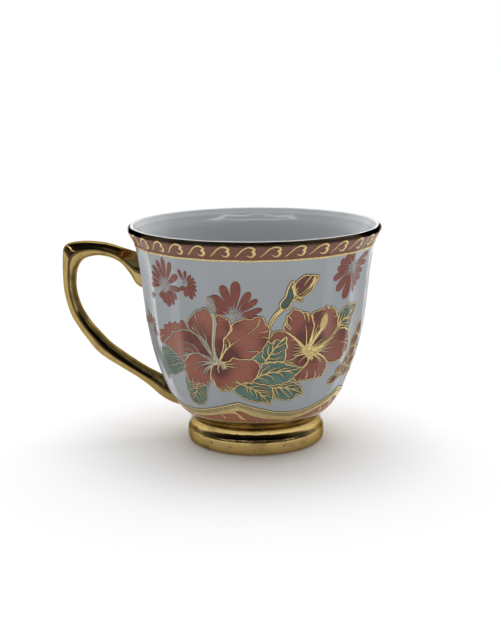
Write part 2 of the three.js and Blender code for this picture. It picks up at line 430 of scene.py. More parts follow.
def floret(colour, ink, place, degrees, length, width, stand=0.06):
    """A small closed flower of the side clusters: an oval with an outline and a fold line."""
    turn = math.radians(degrees)
    direction = np.array([math.cos(turn), math.sin(turn)])
    shape = oblong(np.asarray(place) - direction * length / 2, direction, length, width, round_tip=False)
    film(colour, shape, stand, 0.25, 0.6)
    line(ink, shape, LINE * 0.75, stand + 0.03, closed=True)
    line(ink, bowed(shape[0], shape[0] + direction * length * 0.4, 0.05), LINE * 0.5, stand + 0.03)


def large_hibiscus(red, pale, sheen_gold, ink):
    heart = (-12.2, 35)
    petal(red, sheen_gold, [(-13.8, 36), (-16, 38.6), (-17.6, 40.4), (-19.4, 43), (-21.4, 44.4), (-24.8, 44.9),
        (-27.6, 43.8), (-30.2, 43), (-32.4, 41.2), (-35, 39), (-33.8, 37.8), (-32, 36.4), (-30.4, 35.3),
        (-27, 34), (-25.4, 34.2), (-23.2, 36.4), (-20, 37.3)], heart, 0.055, 7, (0.24, 0.7), 0.05,
        [(-21.8, 42.6, 3.6, 0.74), (-17, 38.6, 3, 0.41), (-25.5, 36, 2, 0.2)])
    petal(red, sheen_gold, [(-13.8, 36.6), (-16.2, 39.6), (-19, 43.2), (-21.6, 44.6), (-22.7, 46.4),
        (-22, 48.6), (-20.8, 50.2), (-19.3, 51.5), (-18, 51.8), (-16.8, 52.8), (-14.8, 52.1), (-13.4, 50.6),
        (-12.9, 47.6), (-13.5, 43), (-13.7, 39)], heart, 0.07, 9, (0.24, 0.66), 0.05,
        [(-21.8, 47.6, 2, 0.54), (-17.6, 46, 2, 0.47), (-14.4, 43, 2.4, 0.68), (-18.4, 43, 2, 0.41)])
    petal(red, ink, [(-12.4, 36), (-13.1, 39.5), (-12.9, 43.5), (-12.2, 47.5), (-12, 51), (-10.5, 50.5),
        (-9, 49.8), (-8, 48.3), (-7.5, 46.6), (-8.4, 45), (-10, 43.2), (-10.3, 41), (-10.8, 39),
        (-11.6, 36.8)], heart, 0.062, 11, (0.36, 0.8), 0.0, [(-8.8, 47.2, 2, 0.61), (-10.8, 42, 2.4, 0.61)])
    petal(red, ink, [(-11.8, 35.6), (-10.8, 39), (-10.3, 41), (-10, 43.2), (-8.4, 45), (-7.6, 47.4),
        (-6.4, 48.6), (-4, 49.8), (-1.6, 50), (0.6, 50.5), (2.1, 50.5), (3, 48.6), (4.2, 47), (4.6, 45),
        (3.8, 42.3), (2.6, 40.1), (1, 38.3), (-1, 36.9), (-5.4, 36.3), (-7.5, 36.7), (-9, 35.4)], heart,
        0.078, 15, (0.3, 0.72), 0.05, [(-6, 48, 2.2, 0.54), (3.2, 42.4, 2.6, 0.68), (-7.6, 37.6, 3, 0.54),
        (-2.8, 45.6, 1.4, 0.2)])
    petal(red, sheen_gold, [(-13.8, 34.8), (-16, 35.5), (-18.6, 37), (-21, 37.3), (-23.4, 36.4), (-25.3, 34.6),
        (-26.4, 33.2), (-26.7, 30.6), (-26.2, 27.4), (-25.4, 25.6), (-23.4, 25), (-20.8, 25.7),
        (-18.4, 26.1), (-16.8, 27.8), (-15.9, 31), (-14.8, 33.6)], heart, 0.085, 13, (0.34, 0.8), 0.02,
        [(-17, 31.6, 2.6, 0.41), (-25.2, 27, 2, 0.47), (-20.5, 27, 1.6, 0.2)])
    petal(red, ink, [(-12, 34.6), (-9.2, 35.4), (-7.5, 36.6), (-5.4, 36.3), (-2, 36.5), (0.2, 36.2),
        (1.3, 34.4), (1.7, 32.4), (0.6, 30.6), (-1.2, 28.8), (-4.4, 27.9), (-7, 26.6), (-8.4, 25.5),
        (-11, 25), (-13.2, 25.2), (-14.8, 26.8), (-16, 29), (-15.9, 31.4), (-14.6, 33.8)], heart, 0.092, 17,
        (0.26, 0.8), 0.05, [(-12.4, 31.6, 3, 0.47), (0.8, 31.6, 2.4, 0.54), (-13.6, 27.2, 2, 0.34),
        (0.4, 35, 1.6, 0.27)])
    strokes(sheen_gold, LINE, 0.12, [(-13.6, 35.4), (-17.6, 36.2), (-19.6, 37.4), (-20.4, 38.8), (-22, 40.2),
        (-25.6, 40.8)], [(-19.8, 37.3), (-21.6, 37.4), (-22.8, 38.5), (-26.3, 38.9)], [(-21.8, 37.2),
        (-23.4, 36.6), (-24.6, 37.2), (-26, 36.6)], [(-24, 36.3), (-26.8, 35.2)], [(-14.4, 35.9),
        (-16.6, 37)], [(-22.4, 37), (-24.4, 36.5), (-26.4, 36.1)], [(-19.8, 50.4), (-19.5, 49),
        (-18.9, 47.7)], [(-21.1, 46.2), (-20.4, 44.8)], [(-15, 38), (-17, 41.2), (-19.6, 45.2),
        (-20.4, 47.4)], [(-14.8, 38.4), (-16.2, 41.4), (-19.2, 44.2)], [(-14.4, 37.8), (-15.9, 40.8),
        (-16.3, 43.2), (-17.9, 46.4)], [(-16, 40.5), (-17.5, 42.4)])
    strokes(sheen_gold, LINE * 1.6, 0.12, [(-13.4, 36), (-15.6, 38.2), (-17.3, 40.2), (-18.5, 41.8)])
    strokes(ink, LINE * 1.3, 0.12, [(-12, 35.8), (-10.2, 38.6), (-8.5, 40.5), (-6.6, 42.1), (-4.7, 43.6)],
        [(-8.6, 40.4), (-8.3, 41.6), (-9.1, 43.1)], [(-11.6, 36.2), (-9.8, 39.6), (-9.6, 41.4)])
    strokes(ink, LINE, 0.12, [(1.5, 49.9), (0.7, 47.9), (-0.8, 46.3), (-2.6, 44.9)], [(4.2, 46),
        (2.8, 45.6), (1.2, 45.5)], [(4.1, 43.4), (2.9, 43.9), (1.7, 43.9)], [(2.3, 38.8), (0.8, 39.2),
        (-0.6, 39.3)])
    strokes(sheen_gold, LINE * 0.9, 0.12, [(-0.4, 39.4), (-1.8, 39.4), (-3.3, 39)])
    strokes(sheen_gold, LINE * 1.1, 0.13, [(-12.6, 34.9), (-17, 34.8), (-20.4, 34.2), (-22.9, 32.9)],
        [(-13, 34.7), (-17, 34), (-20, 33), (-22.4, 31)], [(-14, 34.3), (-17.2, 32.8), (-19.3, 30.5)],
        [(-14.6, 33.9), (-16.6, 32.2), (-18.1, 30.3)], [(-15.6, 33.7), (-17.6, 32), (-18.8, 30.3)],
        [(-14.6, 34.5), (-16.6, 34.5), (-18.4, 33.6)])
    strokes(ink, LINE, 0.13, [(-10.9, 34.5), (-9, 34.5), (-6.7, 34.9)], [(-10.6, 33.8), (-8.4, 33.6),
        (-6, 33.4)], [(-10.8, 33.5), (-9.4, 32.7)], [(-12.2, 34.2), (-12.8, 33), (-12.5, 31.2)],
        [(-5.2, 27.8), (-7.2, 28.1), (-8.6, 28.5)], [(-5.8, 27.9), (-7.2, 29.1)], [(-7.6, 26), (-9.6, 26.4),
        (-11, 27.5)], [(-9.6, 25.4), (-10.6, 26.6)], [(-10.6, 25.2), (-12.6, 26.6)], [(-12.2, 25.1),
        (-13.2, 26)], [(-14.6, 26.6), (-15.2, 28.9)], [(-15.6, 27.6), (-15.9, 29.4)])
    strokes(sheen_gold, LINE, 0.13, [(-24, 25.1), (-24.2, 26.6), (-23.5, 28.6)], [(-21.2, 25.5), (-21.7, 26.6),
        (-22.2, 27.9)], [(-19.2, 26.2), (-19.9, 27.3)], [(-25.6, 26.4), (-25.6, 28)], [(-26.3, 29),
        (-25.2, 30.4)], [(-22.7, 25.1), (-23, 26.5)], [(-17.8, 26.6), (-18.4, 27.8)], [(-26.4, 31.6),
        (-25.5, 32.4)])
    shaft = smooth_path([(-12.3, 34.6), (-13.3, 37.5), (-13.6, 40.5), (-13.3, 43.5), (-12.8, 46.5),
        (-12.7, 49), (-13.1, 51.6)], 0.35)
    line(pale, shaft, 0.8, 0.14, 0.06, taper=False)
    line(ink, shaft - [0.42, 0], LINE * 0.7, 0.16, taper=False)
    line(sheen_gold, shaft + [0.42, 0], LINE * 0.7, 0.16, taper=False)
    head = smooth_path([(-12.2, 50.4), (-12, 53), (-12.6, 55.6), (-14, 57.2), (-15.1, 56.2), (-15.2, 53.6),
        (-14.2, 51.6), (-13.4, 50)], 0.4, closed=True)
    film(pale, head, 0.13, 0.4)
    low, high = head.min(0), head.max(0)
    spots = np.array([(chance.uniform(low[0], high[0]), chance.uniform(low[1], high[1])) for _ in range(190)])
    for i, spot in enumerate(spots[inside_outline(spots, head)]):
        dot(ink if i % 3 == 0 else red, spot, 0.13, 0.15, 0.05)
    film(sheen_gold, smooth_path([(-14, 35.6), (-12.8, 36.4), (-11.4, 35.6), (-10.2, 34.4), (-10.2, 33),
        (-11.2, 32.5), (-11.8, 34), (-13, 34.5)], 0.4, closed=True), 0.15, 0.35, 0.5)


def small_hibiscus(red, pale, ink):
    heart = (17.8, 38)
    petal(red, ink, [(16.2, 39.6), (14.4, 41.4), (12.2, 43.4), (9.8, 45.2), (7.8, 45.8), (6, 45.2),
        (4.8, 44), (4.2, 42.4), (6, 40), (9, 37), (9.8, 35.4), (12, 34.8), (14, 33.4), (16, 32.3),
        (17.6, 33.4), (18.4, 35.6)], heart, 0.055, 9, (0.1, 0.4), -0.2)
    petal(red, ink, [(19.4, 37.2), (18.4, 35.2), (18, 33.5), (16.4, 31.7), (14.4, 29.9), (13.6, 28.9),
        (14.8, 27.8), (16.4, 27.7), (18.4, 28.1), (20, 27.8), (21.6, 28.2), (23.6, 28), (25.4, 28.2),
        (26.6, 29.8), (27.1, 31.8), (26.2, 33.8), (24.2, 35.3), (21.6, 36.6)], heart, 0.062, 11,
        (0.22, 0.78), -0.2, [(25, 32, 2, 0.2), (15.5, 29, 2, 0.27)])
    petal(red, ink, [(19.6, 38.4), (22, 39), (24.6, 40), (27.4, 41.2), (30, 43.6), (31.8, 43.8),
        (34.6, 42.8), (36.4, 41.2), (37.6, 39), (38.2, 36.8), (37.6, 35.3), (35.2, 34.5), (33.4, 33.8),
        (32.2, 32.6), (29.4, 32.4), (27.2, 32.9), (25.2, 34.8), (22.6, 36.4)], heart, 0.07, 11,
        (0.28, 0.76), -0.2, [(33, 42, 3, 0.47), (27, 41, 2, 0.27), (36.8, 36, 2, 0.27)])
    petal(red, ink, [(18.6, 39.4), (18.9, 43), (19.3, 46.4), (18.4, 49.6), (19.2, 51), (20.6, 51.5),
        (22, 51.7), (23.7, 52.4), (25.2, 51.4), (26.9, 51.6), (28.2, 50.2), (29.2, 48.4), (29.6, 46.2),
        (29.4, 44.2), (27.4, 42), (24.6, 40.5), (21.4, 39.2)], heart, 0.078, 15, (0.28, 0.76), -0.15,
        [(20, 49.4, 2.4, 0.54), (22, 42.4, 2.4, 0.41), (28.6, 47, 1.6, 0.41)])
    petal(red, ink, [(17, 39.4), (14.6, 41.6), (12.2, 43.6), (9.4, 45.5), (8.7, 46.8), (9.4, 48.6),
        (9.9, 50.7), (11.2, 52), (12.2, 52.8), (13.6, 52), (15, 51.4), (16.6, 50.9), (18.3, 49.9),
        (18.8, 48.4), (19.3, 46.6), (18.9, 43.4), (18.2, 40.4)], heart, 0.085, 13, (0.24, 0.76), -0.15,
        [(14.6, 43.6, 2.6, 0.47), (17.6, 47, 2, 0.47), (10, 49, 1.5, 0.27)])
    strokes(ink, LINE * 1.3, 0.14, [(16.6, 39), (14.4, 41.3), (12, 43.4), (9.6, 45.3)], [(18, 39.4),
        (18.5, 42.4), (19.3, 46.4), (18.6, 49)], [(19, 37.6), (22, 36.4), (24.4, 35), (27, 32.8)],
        [(19.4, 38.4), (23.6, 40), (27, 41.7), (29.3, 44.2)], [(19.4, 38.2), (24.4, 39.4), (28.6, 41.2)],
        [(18.5, 36), (18.2, 33.8), (16.4, 31.7)], [(17, 37.2), (14, 36.8), (12.6, 36), (10.2, 35.7)])
    strokes(ink, LINE * 0.95, 0.14, [(15.2, 51.2), (15.8, 50), (16.1, 48.6)], [(16.5, 50.9), (17.3, 49.4),
        (17.4, 47.7)], [(17.2, 39.6), (17, 43), (16.8, 45), (16.4, 46.8)], [(9.1, 48), (10, 46.9),
        (11, 45.9)], [(9.5, 48.6), (10.4, 47.4), (11.4, 46.2)], [(10.1, 50.9), (10.8, 50), (11.3, 49)],
        [(18.4, 40), (19.4, 43.4), (20.6, 46.6)], [(18.6, 40), (19.8, 42.6), (20.3, 44.6)], [(29.2, 48.6),
        (28.4, 48.2), (27.4, 48.4)], [(26.9, 51.4), (26.3, 50)], [(28, 50.4), (26.9, 49.6)])
    strokes(ink, LINE * 0.85, 0.14, [(18.6, 38.8), (21, 40.6), (22.3, 41.9)], [(18.8, 38.6), (21.8, 40.3),
        (24, 41.2)], [(19, 38.5), (22.6, 39.9), (24.8, 41)], [(19.4, 38.2), (25, 38.9), (30, 40.2)],
        [(19.6, 38), (24, 38), (28.6, 37.9)], [(19.6, 37.8), (23.4, 37.4), (26.8, 36.5)], [(38, 36.8),
        (35.4, 38.1), (31.5, 39.3)], [(37.6, 38.7), (35.4, 39.4), (33, 39.9)], [(35, 34.6), (33.6, 35.4),
        (33, 36.6)], [(19.4, 37), (21.4, 35.4), (23.3, 33.4)], [(19.6, 37.2), (22.2, 35.2), (24.2, 33.4)],
        [(18.3, 28.2), (18.7, 30), (18.4, 31.3)], [(21.3, 28.2), (21.7, 29.6), (21.2, 31)], [(26.4, 29.6),
        (25.3, 30.9)], [(24, 28.2), (24.5, 29.4)], [(15.6, 28), (16.4, 29)])
    strokes(ink, LINE * 0.85, 0.14, [(16.8, 38.8), (14.2, 40.4), (12.6, 41)], [(16.6, 38.6), (14, 39.5),
        (12.4, 39.8)], [(16.4, 38.3), (14, 38.5), (12.1, 38.5)], [(16.4, 37.9), (13.8, 37.6), (11.8, 37.4)],
        [(16.8, 39.2), (14.2, 41), (12.8, 42.6)], [(15.4, 40.8), (13.2, 42.2), (11.2, 42.8)], [(12.9, 36.3),
        (12, 35.2)], [(17.4, 36.4), (15.8, 35.3), (14.9, 34.4)], [(14.6, 37), (12.8, 37)])
    shaft = smooth_path([(17.8, 38.4), (19.3, 41), (20.6, 43.4), (22, 45.6)], 0.35)
    line(ink, shaft, 1.1, 0.15, 0.10, taper=False)
    head = ruffled([(21.9, 44.4), (21.2, 45.6), (21.3, 47.4), (21.9, 49.3), (23.1, 50.3), (24.3, 49.7),
        (24.7, 48), (24.4, 46.2), (23.4, 45)], 0.08, 11, 0.0, 1.0)
    film(ink, head, 0.16, 0.25)
    for _ in range(9):
        dot(red, (23 + chance.uniform(-0.9, 0.9), 47.6 + chance.uniform(-2, 1.8)), 0.13, 0.17, 0.03)
    film(ink, ruffled([(15.3, 38.2), (16.3, 39.6), (17.9, 40.8), (19.2, 40), (19.9, 38.4), (20, 36.6),
        (19.9, 34.8), (18.7, 35.1), (17.1, 36.5)], 0.22, 17, 0.0, 1.0), 0.17, 0.3, 0.5)


def bud(red, green, ink):
    strokes(ink, LINE * 2, 0.10, [(8, 53), (6.2, 51.3), (5, 49.5), (4.1, 47)], [(8.4, 52.7), (6.8, 51),
        (5.6, 49.2), (4.7, 47)], [(8.2, 52.8), (7.4, 52), (6.6, 51.2)])
    flower = ruffled([(12.1, 58.8), (12.1, 60.6), (13.2, 62), (14.6, 62.9), (16.2, 63.3), (19.5, 62.7),
        (19, 60.8), (18.3, 59), (17.2, 57.5), (15.4, 56.4), (13.2, 56.5), (12.4, 57.6)], 0.05, 5)
    film(red, flower, 0.07, 0.12)
    line(ink, flower, LINE * 1.3, 0.10, closed=True)
    strokes(ink, LINE * 1.1, 0.10, [(17.4, 62.8), (16, 61.2), (15.1, 59.8)], [(18.9, 62.4), (17.4, 60),
        (15.4, 58), (13, 57)], [(19, 62.2), (18.2, 60.2), (16.6, 58), (14.6, 56.7)], [(18.7, 62),
        (17.6, 59.8), (16.6, 58.6)], [(12.4, 57.6), (13.4, 58.4)], [(12.2, 58.6), (13.2, 59.4)],
        [(18.6, 62.6), (17.8, 61.4)])
    calyx = ruffled([(8.4, 52.8), (7.6, 53.8), (7.9, 55.2), (9, 56.7), (9.6, 58.8), (10.2, 60.7),
        (11.2, 61.7), (11.7, 61), (11.1, 59.8), (11.7, 58.6), (12.1, 57.1), (11.4, 55.6), (10.3, 53.8),
        (9.4, 52.9)], 0.05, 7)
    film(green, calyx, 0.09, 0.05)
    line(ink, calyx, LINE * 1.3, 0.12, closed=True)
    strokes(ink, LINE * 1.2, 0.13, [(11.9, 55.8), (13.6, 56.2), (15.2, 54.9)], [(11.4, 55.4), (13.4, 55.2),
        (15.1, 54.9)], [(11.1, 60.4), (11.8, 59.4), (11.6, 58), (12.4, 56.8)], [(11.9, 58.8), (12.9, 58.4)])


def leaves(green, sheen_gold, ink):
    leaf(green, sheen_gold, [(-26.6, 33.6), (-29, 35), (-30.6, 35.6), (-32.4, 37), (-35.5, 37), (-39.5, 35.6),
        (-40, 31.5), (-38, 27.9), (-34, 27.8), (-31.4, 28.8), (-28.4, 30.2), (-27.2, 31.6)], [(-27, 33.2),
        (-32, 31.6), (-38.6, 29.6)], 0.03, [(-28.6, 33.4), (-31, 32.6), (-32.6, 31)], [(-29, 34), (-32, 33),
        (-34.4, 31.2)], [(-29.6, 34.6), (-33, 34), (-36, 32.4)], [(-31, 35.6), (-34, 35), (-37.4, 33.6)],
        [(-33, 36.6), (-35.6, 36), (-38, 34.8)], [(-28, 31.6), (-30.4, 30.6), (-32.6, 30)], teeth=13,
        width=0.24)
    leaf(green, ink, [(-26.4, 29.4), (-28, 27.5), (-28.7, 25.4), (-28.3, 22), (-28, 19.2), (-24.4, 18.2),
        (-22, 19), (-20, 20.8), (-19.4, 23), (-18.4, 26), (-22.5, 26.4), (-25.4, 27)], [(-22.4, 26.4),
        (-24, 23), (-27, 19.8)], 0.03, [(-23.2, 24.6), (-25.4, 24), (-27.8, 22.6)], [(-23.8, 23.2),
        (-26, 22), (-27.8, 20.6)], [(-23, 25), (-21.2, 23.6), (-20.4, 21.6)], [(-23.6, 23.6), (-22.4, 22),
        (-22, 20)], [(-22, 26), (-24.6, 25.8), (-27.6, 24.8)], [(-24.6, 22), (-24, 20.4), (-24.2, 19)],
        [(-22.4, 25.6), (-20.6, 24.8), (-19.6, 23.6)], teeth=13, width=0.26)
    leaf(green, ink, [(29.8, 44.8), (29.8, 47), (30, 48.7), (31.8, 50.6), (34.2, 51.6), (36.4, 51),
        (40.4, 50.4), (39, 48.3), (37.6, 45.8), (35.6, 42.7), (33, 43.8), (31, 43.9)], [(29.4, 44.8),
        (32.2, 46.8), (35.4, 48.6), (40, 50.2)], 0.03, [(30.4, 45.6), (30.7, 47), (31.4, 48.6)],
        [(31.4, 46.4), (32, 47.4), (32.2, 48.6)], [(30.2, 45), (34, 45.6), (37.2, 46.4)], [(30, 44.6),
        (32.6, 44.6), (34.8, 43.6)], [(33.6, 47.6), (34.6, 49), (35.2, 50.2)], [(32.4, 46.9), (35, 46.8),
        (37.8, 47)], [(35.6, 48.6), (37.6, 48.6), (38.8, 48.4)], teeth=15)
    leaf(green, ink, [(-8, 25.3), (-6, 27.2), (-3, 28), (0, 28.2), (3, 27.4), (5.6, 26.4), (6.5, 24.5),
        (6, 21.8), (5.2, 19.9), (4, 20.8), (2, 21.1), (0, 21.2), (-3, 22), (-6, 23.4)], [(-4.6, 27.4),
        (-1.4, 26.2), (1.4, 24.4), (4.9, 20.7)], 0.04, [(-3.4, 26.8), (-3.2, 25.8), (-2.8, 24.6)],
        [(-2.2, 26.4), (-1.8, 25), (-1, 23.8)], [(-0.4, 25.4), (0.2, 24), (0.4, 22.6)], [(1.4, 24.3),
        (2.2, 23), (2.5, 21.6)], [(2.8, 23.2), (4.2, 23.4), (5.6, 22.6)], [(-0.6, 25.6), (2.4, 25.4),
        (5.6, 24.4)], [(-2.6, 26.7), (0.6, 26.9), (4.6, 26)], [(1, 24.8), (3.2, 24.6), (5.6, 23.6)],
        teeth=17)
    leaf(green, ink, [(5.8, 26.6), (8, 27.5), (11, 28.1), (13.5, 27.6), (16.2, 26.2), (17.4, 24.8),
        (18.7, 22.9), (16.4, 22.8), (15.4, 22.8), (14.6, 21.4), (11.4, 21.3), (8.6, 22), (7, 23)],
        [(5.8, 26), (9, 26.2), (12.6, 25.4), (18.4, 23)], 0.048, [(8.6, 26.2), (10.6, 24), (13, 22.2)],
        [(7, 26), (7.8, 24.4), (8.8, 22.9)], [(11, 25.8), (12.6, 24.4), (14.4, 22.8)], [(7.6, 26.4),
        (10.4, 27.2), (13, 27.2)], [(10, 26.1), (13, 26.6), (15.4, 26)], [(13.4, 25), (15.4, 25),
        (16.8, 24.6)], teeth=15)
    leaf(green, ink, [(-1, 36.9), (0.8, 38.4), (2.4, 39.8), (3.9, 42.4), (5, 41.7), (7, 43.1), (8.2, 42.4),
        (9.4, 44), (9.9, 41), (9.6, 38.4), (9.5, 35.8), (7, 35.3), (4, 35), (1.4, 35)], [(3, 35.2),
        (4.8, 37.8), (6.8, 40.8), (9.4, 43.4)], 0.17, [(4.4, 37.2), (4, 39.2), (4.4, 41)], [(5.6, 39.1),
        (5.6, 41), (6.5, 42.4)], [(3.4, 35.9), (2.2, 37.4), (2.6, 39.2)], [(5, 38.1), (7, 38.2),
        (9.2, 39.6)], [(4, 36.6), (6.4, 36.4), (9.2, 37.4)], [(6.5, 40.3), (8.2, 41), (9.5, 42)], teeth=13)
    leaf(green, ink, [(0.2, 30.2), (1.3, 32.6), (2.6, 34.8), (5, 35.3), (8.2, 35.3), (11, 34.1),
        (13.2, 33.4), (16.4, 32.3), (14.6, 30.6), (12.4, 28.9), (9.6, 27.7), (6, 27.1), (2, 27.6),
        (-1, 28.8)], [(-0.8, 29.4), (2.6, 31), (8, 32), (15.6, 32.2)], 0.18, [(1.4, 30.7), (2.6, 32.6),
        (4.8, 34)], [(4, 31.5), (5.8, 32.8), (8, 33.4)], [(7.4, 32), (9.6, 33), (11.8, 33)], [(3, 31.1),
        (5.4, 30.2), (6.6, 28.6)], [(6.4, 31.7), (8.4, 31.2), (9.8, 29.8)], [(0.6, 30.1), (3, 29.4),
        (4.4, 28.4)], [(10, 32.1), (12, 31.6), (13.2, 30.6)], teeth=17)


def spray(side, turn, node):
    """The whole spray on one side of the cup."""
    red, green, pale, edge = Layer(turn), Layer(turn), Layer(turn), Layer(turn)
    # The first of these two layers holds gold lines painted pale and grey: a painted reflection
    sheen_gold, ink = Layer(turn, edge), Layer(turn, edge)
    daisy(red, pale, (-31.8, 58.3), 1.9, 0.03, [(83, 9.8, 2.3), (102, 8.6, 2), (122, 7.6, 1.8),
        (141, 6.8, 1.7), (163, 6.7, 1.8), (184, 7.6, 2), (61, 9.6, 2.5), (32, 8.4, 2.7), (-2, 7.6, 2.4),
        (-30, 6.8, 2.6), (-55, 6.9, 2.6), (-80, 7, 2.6), (-98, 6, 2.4), (-120, 5, 2.2)])
    film(red, oblong(np.array([-36, 54.9]), (-5, -1.2), 5, 2.1), 0.03, 0.4)
    daisy(red, pale, (-22.6, 60.3), 0.7, 0.03, [(108, 4.7, 1.4), (80, 4.3, 1.2), (50, 3.8, 1.2),
        (28, 4, 1.1), (9, 4, 1.1), (-12, 4.1, 1.2), (-31, 4.6, 1.3), (-50, 5.3, 1.4), (-67, 5.6, 1.6),
        (-88, 4.4, 1.6), (-120, 2.8, 1.8)])
    daisy(red, pale, (-6.7, 50.7), 1.9, 0.03, [(137, 9.4, 4.2), (109, 10.6, 3.2), (85, 11.4, 3.8),
        (57, 9.6, 2.9), (37, 9.3, 2.4), (15, 9.2, 2.2), (2, 7.4, 1.6), (157, 6.6, 3.2)])
    daisy(red, pale, (34, 64), 1.9, 0.03, [(129, 5.9, 2.6), (103, 4.6, 2), (156, 6.5, 2.7), (180, 6.9, 2.6),
        (203, 8.7, 2.9), (231, 9.6, 3.2), (255, 10.8, 3.2), (285, 9, 3), (304, 8.5, 2.5), (322, 8.6, 2.4),
        (340, 8.2, 2.2), (1, 9, 2.3), (19, 10, 2.3)])
    film(red, smooth_path([(-23, 45), (-24.3, 48.2), (-26, 47), (-27.4, 46.4), (-28.1, 47.1), (-30.2, 46),
        (-31.6, 46.5), (-32.5, 45.2), (-34.2, 45.1), (-34.3, 43.6), (-36.6, 43), (-36.2, 41.8),
        (-38.4, 40.6), (-36.6, 38.4), (-31, 39.6), (-25, 42)], 0.5, closed=True), 0.03, 0.6)
    strokes(pale, 0.3, 0.04, [(-35.4, 39), (-33.6, 40.6), (-33, 42)], [(-36.8, 40.2), (-35, 41.4)])
    daisy(red, pale, (-45, 42.4), 0.9, 0.03, [(20 * i - 60, 4 + (i % 3) * 0.7, 1.0) for i in range(12)])
    leaves(green, sheen_gold, ink)
    large_hibiscus(red, pale, sheen_gold, ink)
    small_hibiscus(red, pale, ink)
    bud(red, green, ink)
    cluster = [(32.2, 25.8, 22, 4.8, 2.5), (34.8, 29.2, 12, 4.6, 2.8), (36.6, 26.2, 30, 2.6, 1.7),
        (38.6, 28.4, 50, 3.6, 2), (41, 27, 40, 4.4, 2.4), (39.4, 31, 40, 3.8, 2.4),
        (43, 30.2, 50, 4.4, 2.8), (44.6, 26.6, -10, 3, 1.8), (42.2, 33.6, 60, 4.4, 3),
        (42.6, 37.4, 60, 4.6, 3.2), (44.4, 41.4, 70, 4.4, 2.8), (46.6, 36, 80, 3.8, 2.6),
        (47, 31.6, 30, 3.4, 2.2), (46.6, 43, 70, 3.8, 2), (49, 39, 60, 3.4, 2.2), (48, 47, 80, 4, 2.2),
        (48.6, 51.4, 80, 4, 2.2), (47, 56, 100, 3.4, 1.8), (49.6, 43.6, 80, 3.4, 2)]
    for x, y, degrees, length, width in cluster:
        floret(red, ink, (x, y), degrees, length, width)
    pieces = [
        red.piece(f"{side}_red_enamel", RED, "flower_print"),
        green.piece(f"{side}_leaves", GREEN, "flower_print"),
        pale.piece(f"{side}_pale_stipple", PALE, "flower_print"),
        sheen_gold.piece(f"{side}_pale_gold_lines", PALE_GOLD, "flower_print"),
        ink.piece(f"{side}_gold_lines", LINE_GOLD, "flower_print"),
        edge.piece(f"{side}_line_edges", EDGE, "flower_print"),
    ]
    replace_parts(pieces[0], node)


# ---------------------------------------------------------------- borders
def rim_border():
    vertices, faces = wall_band(*RIM_BAND, 12, FILM_STAND)
    band = make_piece("rim_band", vertices, faces, BAND_RED, 0.4)
    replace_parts(band, "rim_border")
    gold = Layer()
    squeeze = SHEET_RADIUS / wall_radius(sum(RIM_BAND) / 2)
    hook = smooth_path([(-6.5, -1.75), (-5.3, -0.7), (-4.3, 0.35), (-3.3, 1.1), (-2.2, 1.5), (-1.2, 1.45),
        (-0.45, 1.0), (-0.45, 0.45), (-1.0, 0.12), (-0.4, -0.35), (-0.5, -1.0), (-1.0, -1.5), (-1.9, -1.6),
        (-2.8, -1.2)], 0.3)
    width = np.interp(np.linspace(0, 1, len(hook)), [0, 0.2, 0.45, 0.6, 0.68, 0.74, 0.85, 1],
        [0.25, 0.42, 0.55, 0.9, 0.8, 0.95, 0.7, 0.2])
    for i in range(RIM_SCROLLS):
        edge = 2 * math.pi * SHEET_RADIUS * i / RIM_SCROLLS + SCROLL_SHIFT
        place = hook + [edge, SCROLL_HEIGHT]
        line(gold, place, width, 0.09, 0.07, taper=False, squeeze=squeeze, centre=edge - 3)
    gold.piece("rim_scrolls", LINE_GOLD, "border_print")
    vertices, faces = wall_band(RIM_BAND[0] - 0.45, RIM_BAND[0] + 0.08, 5, 0.11)
    make_piece("rim_border_line", vertices, faces, LINE_GOLD, 0.5)


def cusp_wave(angle):
    """0 between the crests of the lower border and 1 at each pointed crest."""
    turn = LOWER_CUSPS / 2 * (angle - LOWER_TURN)
    return (1 - np.abs(np.sin(turn))) ** 0.9


def lean(angle):
    """The lower border was laid on a little askew: it climbs to the right and sinks to the left."""
    return LOWER_LEAN * np.sin(angle) ** 3


